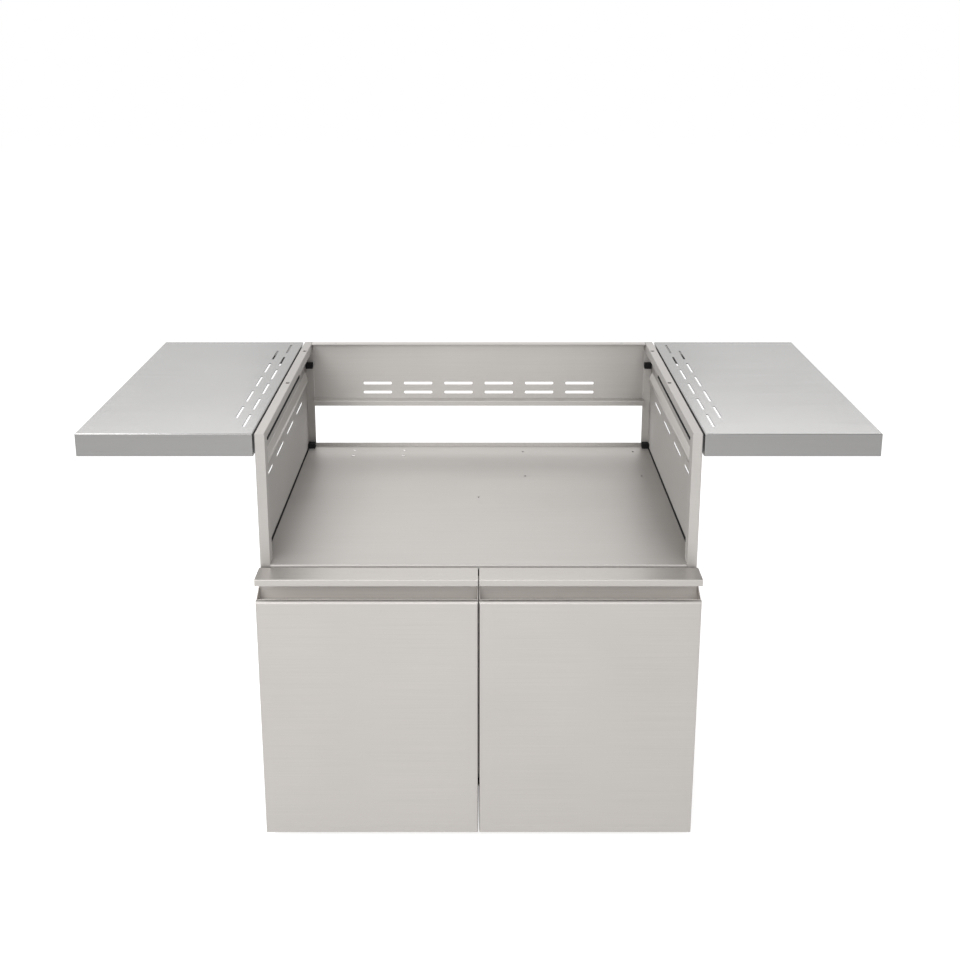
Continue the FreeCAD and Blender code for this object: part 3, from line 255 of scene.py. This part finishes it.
def noise_at(tree, stretch, frequency, detail=3.0):
    """A noise in the piece's own coordinates, stretched by the three scales."""
    where = new_node(tree, "Mapping", {"Vector": own(tree, "Object"), "Scale": stretch})
    return new_node(tree, "TexNoise", {
        "Vector": where.outputs["Vector"], "Scale": frequency, "Detail": detail}).outputs[0]


def between(tree, noise, low, high):
    """Spreads the middle of a noise over a range of values."""
    return ranged(tree, noise, NOISE_LOW, NOISE_HIGH, low, high)


def shades(tree, noise, dark, light):
    """Spreads the middle of a noise from a dark colour to a light one."""
    ramp = new_node(tree, "ValToRGB", {"Fac": noise})
    stops = ramp.color_ramp.elements
    stops[0].position, stops[1].position = NOISE_LOW, NOISE_HIGH
    stops[0].color, stops[1].color = (*dark, 1.0), (*light, 1.0)
    return ramp.outputs["Color"]


def times(tone, share):
    """A tone made lighter or darker, and never lighter than white."""
    return [min(part * share, 1.0) for part in tone]


def lifted_by(tree, noise, strength, depth):
    """The direction of a face whose surface rises and falls with a noise."""
    bump = new_node(tree, "Bump", {"Strength": strength, "Distance": depth, "Height": noise})
    return bump.outputs["Normal"]


print("helpers for noise and shades")

# %% [markdown]
# Only the outside of the cart is polished. The faces that look into the well are rougher, as the
# mill
# left them, and a little darker, which is painted shade. The finger recess is rougher and paler:
# painted light on its shade. The folded front of a shelf or a door lip is darker than its top:
# painted shade. Each of these places is picked by where a point lies or where its face looks, so
# one finish covers a folded sheet without cutting its mesh.

# %% Places on a folded sheet
INWARD = -0.2
FRONTWARD = -0.7
RECESS_FRONT_Y = -0.3625
RECESS_MIDDLE_Z, RECESS_HALF_Z = 0.577, 0.0288


def faces_into_well(tree):
    """1 on the faces of a side panel that look towards the cart's middle, 0 on the rest."""
    look = split(tree, own(tree, "Normal"))
    place = split(tree, own(tree, "Object"))
    return worked(tree, "LESS_THAN", worked(tree, "MULTIPLY", look["X"], place["X"]), INWARD)


def faces_front(tree):
    """1 on the faces that look to the front of the cart, 0 on the rest."""
    return worked(tree, "LESS_THAN", split(tree, own(tree, "Normal"))["Y"], FRONTWARD)


def in_finger_recess(tree):
    """1 behind the front of a door, between the lip over its recess and the floor of it."""
    place = split(tree, own(tree, "Object"))
    behind = worked(tree, "GREATER_THAN", place["Y"], RECESS_FRONT_Y)
    level = worked(tree, "COMPARE", place["Z"], RECESS_MIDDLE_Z, RECESS_HALF_Z)
    return worked(tree, "MULTIPLY", behind, level)


# Here the painted light and shade of a picked place go into the colour.
def tinted(tree, where, change, colour):
    """The colour, made lighter or darker by a share of itself in the picked place."""
    share = worked(tree, "MULTIPLY_ADD", where, change, 1.0)
    return new_node(tree, "VectorMath", {0: colour, "Scale": share}, "SCALE").outputs[0]


print("three places that can be picked")

# %% [markdown]
# Stainless sheet leaves the mill brushed in one direction: fine scratches, one beside the other.
# Across them light is spread far, along them hardly at all. The shader's anisotropy gives that
# spread, and its tangent is turned across the scratches in the piece's own axes, so the grain
# swings with a door. Tone and gloss vary from scratch to scratch, the gloss less so on a glossier
# sheet.

# %% Brushed steel
GRAIN_LEVEL = (4.0, 4.0, 900.0)
GRAIN_FLAT = (4.0, 900.0, 900.0)
ALONG_X = (1.0, 0.05, 0.02)
ALONG_Y = (0.03, 1.0, 0.02)
SCRATCH_DETAIL = 4.0
SCRATCH_TONES = (0.95, 1.05)
SCRATCH_STRENGTH, SCRATCH_DEPTH = 0.06, 0.0004
FINE_MOST, FINE_SHARE = 0.05, 0.12
CLOUD_FREQUENCY = 5.0
BROAD_MOST, BROAD_SHARE = 0.03, 0.08


def across_grain(tree, along):
    """The direction across the scratches, on the face and in the room's axes."""
    turn = new_node(tree, "VectorMath", {0: own(tree, "Normal"), 1: along}, "CROSS_PRODUCT")
    out = new_node(tree, "VectorTransform", {"Vector": turn.outputs["Vector"]})
    out.vector_type = "VECTOR"
    out.convert_from, out.convert_to = "OBJECT", "WORLD"
    return out.outputs["Vector"]


def brushed_steel(name, tone, grain, along, rough, spread, painted_tone_and_roughness=None):
    """Takes, if given, a picker of a place, the change of its tone, which paints light or shade
    there, and the change of its roughness.
    """
    finish, tree, shader = new_finish(name)
    scratches = noise_at(tree, grain, 1.0, SCRATCH_DETAIL)
    clouds = noise_at(tree, EVEN, CLOUD_FREQUENCY)
    fine = min(FINE_MOST, FINE_SHARE * rough)
    broad = min(BROAD_MOST, BROAD_SHARE * rough)
    dark, light = (times(tone, share) for share in SCRATCH_TONES)
    colour = shades(tree, scratches, dark, light)
    roughness = worked(
        tree, "ADD",
        between(tree, scratches, rough - fine, rough + fine),
        between(tree, clouds, -broad, broad))
    if painted_tone_and_roughness:
        picker, tone_change, rough_change = painted_tone_and_roughness
        where = picker(tree)
        colour = tinted(tree, where, tone_change, colour)
        roughness = worked(tree, "MULTIPLY_ADD", where, rough_change, roughness)
    feed(tree, shader, {
        "Metallic": 1.0, "Anisotropic": spread, "Base Color": colour, "Roughness": roughness,
        "Normal": lifted_by(tree, scratches, SCRATCH_STRENGTH, SCRATCH_DEPTH),
        "Tangent": across_grain(tree, along)})
    return finish


sheet_steel = brushed_steel(
    "satin_sheet", (0.500, 0.482, 0.464), GRAIN_FLAT, ALONG_X, 0.50, 0.75)
# Faces into the well are rougher, and 6 per cent darker: painted shade of the well.
side_steel = brushed_steel(
    "satin_sides", (0.468, 0.451, 0.434), GRAIN_LEVEL, ALONG_Y, 0.55, 0.4,
    (faces_into_well, -0.06, 0.32))
# The front faces of a shelf are 24 per cent darker than its top: painted shade.
shelf_steel = brushed_steel(
    "satin_shelf", (0.367, 0.363, 0.358), GRAIN_FLAT, ALONG_X, 0.22, 0.5,
    (faces_front, -0.24, 0.0))
# In the finger recess the door is half again as light, painted light on the recess's shade, and
# rougher.
door_steel = brushed_steel(
    "satin_door", (0.460, 0.440, 0.421), GRAIN_FLAT, ALONG_X, 0.42, 0.75,
    (in_finger_recess, 0.50, 0.42))
# The lip is lighter than the door, a painted highlight on its top; its front faces are 13 per cent
# darker, painted shade, near the door's tone.
lip_steel = brushed_steel(
    "satin_lip", (0.520, 0.498, 0.476), GRAIN_FLAT, ALONG_X, 0.42, 0.75,
    (faces_front, -0.13, 0.0))
print("five tempers of brushed steel")

# %% [markdown]
# The screws are turned from bright rod and the casters are pressed from zinc-plated sheet with its
# faintly mottled skin. Both are bare metal without a grain, so one recipe serves for the two: a
# fine noise that varies the shade and the gloss together.

# %% Bare metal
MOTTLE_FREQUENCY = 160.0
MOTTLE_TONES = (0.9, 1.08)
MOTTLE_ROUGH = 0.07
MOTTLE_STRENGTH, MOTTLE_DEPTH = 0.05, 0.0003


def bare_metal(name, tone, rough):
    """Metal without a grain, whose shade and gloss vary together."""
    finish, tree, shader = new_finish(name)
    mottle = noise_at(tree, EVEN, MOTTLE_FREQUENCY)
    dark, light = (times(tone, share) for share in MOTTLE_TONES)
    feed(tree, shader, {
        "Metallic": 1.0,
        "Base Color": shades(tree, mottle, dark, light),
        "Roughness": between(tree, mottle, rough - MOTTLE_ROUGH, rough + MOTTLE_ROUGH),
        "Normal": lifted_by(tree, mottle, MOTTLE_STRENGTH, MOTTLE_DEPTH)})
    return finish


screw_steel = bare_metal("bright_screws", (0.70, 0.69, 0.68), 0.16)
zinc = bare_metal("zinc_plate", (0.49, 0.50, 0.51), 0.36)
print("two bare metals")

# %% [markdown]
# The rest of the hardware is moulded: grey wheels, soft grey tyres, red pedals, the black shells
# of the magnets, and near-black rubber that is matt and dusty in its pits. A broad noise clouds
# the colour and a fine one roughens the surface, as the skin of a mould does.

# %% Mouldings
PIT_FREQUENCY = 700.0
PIT_SMOOTHER, PIT_ROUGHER = 0.06, 0.08
PIT_STRENGTH, PIT_DEPTH = 0.12, 0.0003
DUST_FREQUENCY = 30.0
PLASTIC_IOR = 1.46


def moulded(name, dark, light, rough, shine=0.5):
    """Plastic or rubber that is clouded from a dark shade to a light one."""
    finish, tree, shader = new_finish(name)
    pits = noise_at(tree, EVEN, PIT_FREQUENCY)
    dust = noise_at(tree, EVEN, DUST_FREQUENCY)
    feed(tree, shader, {
        "IOR": PLASTIC_IOR, "Specular IOR Level": shine,
        "Base Color": shades(tree, dust, dark, light),
        "Roughness": between(tree, pits, rough - PIT_SMOOTHER, rough + PIT_ROUGHER),
        "Normal": lifted_by(tree, pits, PIT_STRENGTH, PIT_DEPTH)})
    return finish


rubber = moulded("black_rubber", (0.006, 0.006, 0.0065), (0.013, 0.013, 0.0135), 0.8, shine=0.2)
magnet_shell = moulded("magnet_shell", (0.02, 0.02, 0.021), (0.04, 0.04, 0.042), 0.48)
wheel_body = moulded("wheel_body", (0.17, 0.17, 0.175), (0.23, 0.23, 0.235), 0.5)
wheel_tread = moulded("wheel_tread", (0.05, 0.05, 0.052), (0.085, 0.085, 0.087), 0.62)
pedal_plastic = moulded("pedal_plastic", (0.30, 0.032, 0.024), (0.38, 0.045, 0.035), 0.45)
print("five mouldings")

# %% [markdown]
# Every CAD piece takes the finish of its slot in the record, so the model and the picture agree on
# what is made of what. Only the side panels and the door lips have a finish of their own: the side
# panels, folded from the same sheet as the rest, are brushed their own way, and the door lips take
# the door's brushing in a lighter tone, a painted highlight on their tops.

# %% Dress the CAD pieces
FINISH_OF_SLOT = {
    "stainless_sheet": sheet_steel,
    "stainless_shelf": shelf_steel,
    "stainless_door": door_steel,
    "stainless_screw": screw_steel,
    "zinc_steel": zinc,
    "black_rubber": rubber,
    "magnet_case": magnet_shell,
    "wheel_plastic": wheel_body,
    "wheel_tyre": wheel_tread,
    "brake_plastic": pedal_plastic,
}
OWN_FINISH = {
    "left_side_panel": side_steel,
    "right_side_panel": side_steel,
    "left_door_lip": lip_steel,
    "right_door_lip": lip_steel,
}
slot_of_node = {row["node"]: row["material_slot"] for row in frame["record"]["subparts"]}


def dress(piece, finish):
    """Gives a piece one finish in place of all it had."""
    piece.data.materials.clear()
    piece.data.materials.append(finish)


for name, piece in nodes.items():
    dress(piece, OWN_FINISH.get(name, FINISH_OF_SLOT[slot_of_node[name]]))
print("dressed", len(nodes), "pieces")

# %% [markdown]
# The drawing leaves out what a workshop buys by the box: edging, screws, rivets. Here black edging,
# strips and rings also paint shade in a few gaps and holes. Nearly all of it is a profile drawn out
# along a line or turned round an axis, and bmesh makes both from a short list of points. The points
# are in millimetres, as on the drawing. The helper that places a piece also says what it is made of
# and which body of the cart carries it.

# %% Place a small piece
MM = 0.001
SHARP_FROM = math.radians(38)


def placed(name, shape, finish, body):
    """Turns a bmesh in millimetres into a piece that rides on a body."""
    bmesh.ops.recalc_face_normals(shape, faces=shape.faces)
    shape.transform(Matrix.Scale(MM, 4))
    mesh = bpy.data.meshes.new(name)
    shape.to_mesh(mesh)
    shape.free()
    mesh.shade_smooth()
    mesh.set_sharp_from_angle(angle=SHARP_FROM)
    piece = bpy.data.objects.new(name, mesh)
    bpy.context.collection.objects.link(piece)
    dress(piece, finish)
    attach(piece, body)
    return piece


print("small pieces are sharp from", round(math.degrees(SHARP_FROM)), "degrees")

# %% [markdown]
# A profile drawn out is two copies of an outline with faces between them. Its long edges are
# softened by a bevel, because no real edge is so sharp that it doesn't catch a line of light. A
# turned piece is a stack of rings, and a ring of no radius is a single point on the axis.

# %% Draw out and turn


def drawn_out(shape, outline, reach, soften):
    """A closed outline in X and Z, drawn out along Y, with its long edges softened."""
    ends = [[shape.verts.new((x, y, z)) for x, z in outline] for y in reach]
    for k in range(len(outline)):
        after = (k + 1) % len(outline)
        shape.faces.new((ends[0][k], ends[0][after], ends[1][after], ends[1][k]))
    long_edges = [shape.edges.get(pair) for pair in zip(*ends)]
    for ring in ends:
        shape.faces.new(ring)
    bmesh.ops.bevel(
        shape, geom=long_edges, offset=soften, segments=3, affect="EDGES", profile=0.5)


def skin(shape, rings, steps):
    """Faces between rings of points that follow each other. A ring may be a single point."""
    for low, high in zip(rings, rings[1:]):
        for k in range(steps):
            corners = [low[k % len(low)], low[(k + 1) % len(low)],
                       high[(k + 1) % len(high)], high[k % len(high)]]
            shape.faces.new(list(dict.fromkeys(corners)))


def standing(axis):
    """Turns what is built along Z so that it stands along the axis."""
    return Vector(axis).to_track_quat("Z", "Y").to_matrix()


def ring_point(radius, angle, height):
    """A point on a ring round the Z axis."""
    return Vector((radius * math.cos(angle), radius * math.sin(angle), height))


def turned(shape, profile, centre, axis, steps=28):
    """Pairs of radius and height, turned round an axis through a point."""
    stand = standing(axis)
    rings = []
    for radius, height in profile:
        angles = [2 * math.pi * k / steps for k in range(steps if radius else 1)]
        spots = [ring_point(radius, angle, height) for angle in angles]
        rings.append([shape.verts.new(Vector(centre) + stand @ spot) for spot in spots])
    skin(shape, rings, steps)


print("helpers for drawn and turned pieces")

# %% [markdown]
# A strip of black edging is pushed over the turned-down lip of each rail, from the front post to
# past the middle. Its black paints the shadow line under the lip. It is a soft U, so it is drawn
# as one outline round the lip and drawn out along it, with every long edge rounded.

# %% Rail edging, painted as a shadow line
HANDS = (("left", -1), ("right", 1))
SHADE_EDGING_REACH = (-284.5, 134.0)
SHADE_EDGING = [(438.9, 890.6), (434.6, 890.6), (434.6, 897.2), (435.9, 897.2),
          (435.9, 893.9), (437.6, 893.9), (437.6, 897.2), (438.9, 897.2)]


def strip_along(side, outline, reach, soften):
    """A strip with an outline given for the right side of the cart."""
    strip = bmesh.new()
    drawn_out(strip, [(side * x, z) for x, z in outline], reach, soften)
    return strip


# Black edging on each rail lip paints the shadow line under the lip.
for hand, side in HANDS:
    strip = strip_along(side, SHADE_EDGING, SHADE_EDGING_REACH, soften=0.4)
    placed(hand + "_rail_shade_edging", strip, rubber, "cart")
print("edging on both rails")

# %% [markdown]
# Inside the well a narrow folded strip runs along each side skin under the rail. In the photograph
# it is the light line above the row of slots. It stiffens a large flat sheet that would otherwise
# drum. Its outline is what a folding machine makes: an edge on the skin, a slope away from it, and
# a turned-down leg.

# %% Well stiffeners
STIFFENER_REACH = (-309.0, 345.0)
STIFFENER = [(455.4, 838.0), (455.4, 835.4), (450.2, 821.6), (450.2, 812.0),
             (449.0, 812.0), (449.0, 822.0), (454.8, 837.4)]
for hand, side in HANDS:
    strip = strip_along(side, STIFFENER, STIFFENER_REACH, soften=0.25)
    placed(hand + "_well_stiffener", strip, sheet_steel, "cart")
print("a stiffener on both sides of the well")

# %% [markdown]
# The deck stops two millimetres short of either side skin, and a black strip fills that gap: it
# paints the shadow in the gap, the dark line along the foot of both walls. Its stem goes down
# between the sheets and its cap lies on the deck. Below each hole of the top rails sits a black
# ring that paints the shade inside the hole. Its first and last points are the same, so that they
# are merged.

# %% Painted shade: deck gap strips and rail hole rings
SHADE_STRIP_REACH = (-308.0, 347.0)
SHADE_STRIP = [(455.3, 618.5), (453.7, 618.5), (453.7, 624.15), (451.6, 624.15),
        (451.8, 624.9), (453.0, 625.7), (454.2, 626.1), (455.3, 626.2)]
SHADE_RING = [(3.4, 0.2), (6.0, 0.2), (6.0, 5.2), (5.4, 5.8), (3.4, 5.8), (3.4, 0.2)]
RAIL_HOLE_X, RAIL_HOLES_Y, RAIL_UNDERSIDE_Z = 444.0, (23.0, 285.0), 912.5
DOWN = (0, 0, -1)
for hand, side in HANDS:
    # A black strip in the gap at the foot of each wall: painted shadow.
    strip = strip_along(side, SHADE_STRIP, SHADE_STRIP_REACH, soften=0.2)
    placed(hand + "_deck_shade_strip", strip, rubber, "cart")
    # Black rings under the rail holes: painted shade inside the holes.
    shade_rings = bmesh.new()
    for y in RAIL_HOLES_Y:
        turned(shade_rings, SHADE_RING, (side * RAIL_HOLE_X, y, RAIL_UNDERSIDE_Z), DOWN, steps=24)
    bmesh.ops.remove_doubles(shade_rings, verts=shade_rings.verts, dist=0.001)
    placed(hand + "_rail_shade_rings", shade_rings, rubber, "cart")
print("seals and nuts on both sides")

# %% [markdown]
# The screws of the deck and the shelves are pan heads with a cross recess. A ring of points turned
# round the axis can't hold the straight sides of a cross, so here each ring takes its points where
# it crosses those sides, and the points inside the cross are pushed down.

# %% A cross-head
# All but the angles are shares of the head's radius or of its height.
RING_SHARES = (0.16, 0.34, 0.52, 0.57, 0.75, 0.92, 1.0)
ARM_HALF, ARM_START, ARM_END = 0.13, 0.2, 0.55
WIDEST_ARM, WIDEST_EDGE = 0.58, 0.70
EDGE_TIMES, EDGE_MORE = 1.18, 0.02
RECESS_FLOOR, DOME_FALL, RIM = 0.35, 0.45, 0.55
POINTS_ROUND = 24


def cross_head(shape, centre, axis, radius, height):
    """A pan head that stands on a point, with the edges of its recess kept straight."""
    stand = standing(axis)

    def point(spot):
        return shape.verts.new(Vector(centre) + stand @ spot)

    floor = RECESS_FLOOR * height
    rings = [[point(Vector((0, 0, floor)))]]
    for share in RING_SHARES:
        arm = min(math.asin(min(ARM_HALF / share, 1.0)), WIDEST_ARM)
        edge = min(arm * EDGE_TIMES + EDGE_MORE, WIDEST_EDGE)
        third = (math.pi / 2 - 2 * edge) / 3
        top = height * (1.0 - DOME_FALL * share ** 2)
        ring = []
        for quarter in range(4):
            for turn in (-edge, -arm, arm, edge, edge + third, edge + 2 * third):
                sunk = share < ARM_START or share < ARM_END and abs(turn) < edge
                angle = quarter * math.pi / 2 + turn
                ring.append(point(ring_point(share * radius, angle, floor if sunk else top)))
        rings.append(ring)
    drop = stand @ Vector((0, 0, RIM * height))
    base = [shape.verts.new(corner.co - drop) for corner in rings[-1]]
    skin(shape, rings + [base], POINTS_ROUND)
    shape.faces.new(base)


print("a cross-head has", POINTS_ROUND, "points round its rim")

# %% [markdown]
# Four bright screws sit in the rear left of the deck, and eight flatter ones hold the shelves to
# their angles from below. Each is a head with a shank that starts inside it. The CAD model has
# plain heads in these places, and the crossed ones stand for them.

# %% Deck and shelf screws
UP = (0, 0, 1)
DECK_TOP_Z, SHELF_ANGLE_Z = 624.0, 862.5
DECK_SHANK = [(0, -0.4), (2.4, -0.4), (2.4, 4.6), (1.6, 6.0), (0, 6.0)]
SHELF_SHANK = [(0, -0.4), (2.0, -0.4), (2.0, 6.4), (1.3, 7.5), (0, 7.5)]
DECK_SCREWS = [(x, y, DECK_TOP_Z) for x in (-196.5, -328.0) for y in (298.0, 336.5)]
SHELF_SCREWS = [(x, y, SHELF_ANGLE_Z) for x in (-467.5, 467.5)
                for y in (-242.0, -62.0, 118.0, 298.0)]
deck_heads = bmesh.new()
for spot in DECK_SCREWS:
    cross_head(deck_heads, spot, UP, radius=4.0, height=1.9)
    turned(deck_heads, DECK_SHANK, spot, DOWN, steps=16)
deck_heads = placed("deck_screw_heads", deck_heads, screw_steel, "cart")
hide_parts("deck_screws")

shelf_heads = bmesh.new()
for spot in SHELF_SCREWS:
    cross_head(shelf_heads, spot, DOWN, radius=4.0, height=1.5)
    turned(shelf_heads, SHELF_SHANK, spot, UP, steps=16)
shelf_heads = placed("shelf_screw_heads", shelf_heads, screw_steel, "cart")
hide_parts("shelf_screws")
print(len(DECK_SCREWS), "deck screws and", len(SHELF_SCREWS), "shelf screws")

# %% [markdown]
# Behind the open doors there are more fixings: two screws on each hinge plate, and blind rivets
# that hold the rear panel to the side flanges. A blind rivet is a dome with the broken stem of its
# mandrel in the middle, so its profile dips before it reaches the axis.

# %% Hinge screws and rivets
FRONT = (0, -1, 0)
HINGE_PLATE_Y, REAR_FLANGE_Y = -315.0, 367.0
RIVET = [(0, 0.0), (3.2, 0.0), (3.1, 0.35), (2.4, 0.85), (1.3, 1.1),
         (1.15, 0.6), (1.0, 0.6), (0.9, 0.75), (0, 0.8)]
HINGE_SCREWS = [(x, HINGE_PLATE_Y, z) for x in (-446.5, 446.5)
                for z in (173.0, 187.0, 493.0, 507.0)]
RIVETS = [(x, REAR_FLANGE_Y, z) for x in (-446.0, 446.0) for z in (170.0, 310.0, 450.0, 585.0)]
hinge_heads = bmesh.new()
for spot in HINGE_SCREWS:
    cross_head(hinge_heads, spot, FRONT, radius=3.6, height=1.7)
placed("hinge_screw_heads", hinge_heads, screw_steel, "cart")

rivets = bmesh.new()
for spot in RIVETS:
    turned(rivets, RIVET, spot, FRONT)
placed("rear_panel_rivets", rivets, screw_steel, "cart")
print(len(HINGE_SCREWS), "hinge screws and", len(RIVETS), "rivets")

# %% [markdown]
# Each magnet on the stile has two steel poles that stand a hair proud of its black case. A pole is
# a flat bar with its corners cut off, which is one outline again, drawn out by less than a
# millimetre.

# %% Magnet poles
POLE = [(-1.0, 519.5), (-0.5, 518.8), (0.5, 518.8), (1.0, 519.5),
        (1.0, 560.5), (0.5, 561.2), (-0.5, 561.2), (-1.0, 560.5)]
POLE_REACH = (-313.95, -313.0)
POLE_MIDDLES = (-15.6, -6.4, 6.4, 15.6)
poles = bmesh.new()
for middle in POLE_MIDDLES:
    drawn_out(poles, [(middle + x, z) for x, z in POLE], POLE_REACH, soften=0.1)
placed("magnet_poles", poles, zinc, "cart")
print(len(POLE_MIDDLES), "magnet poles")
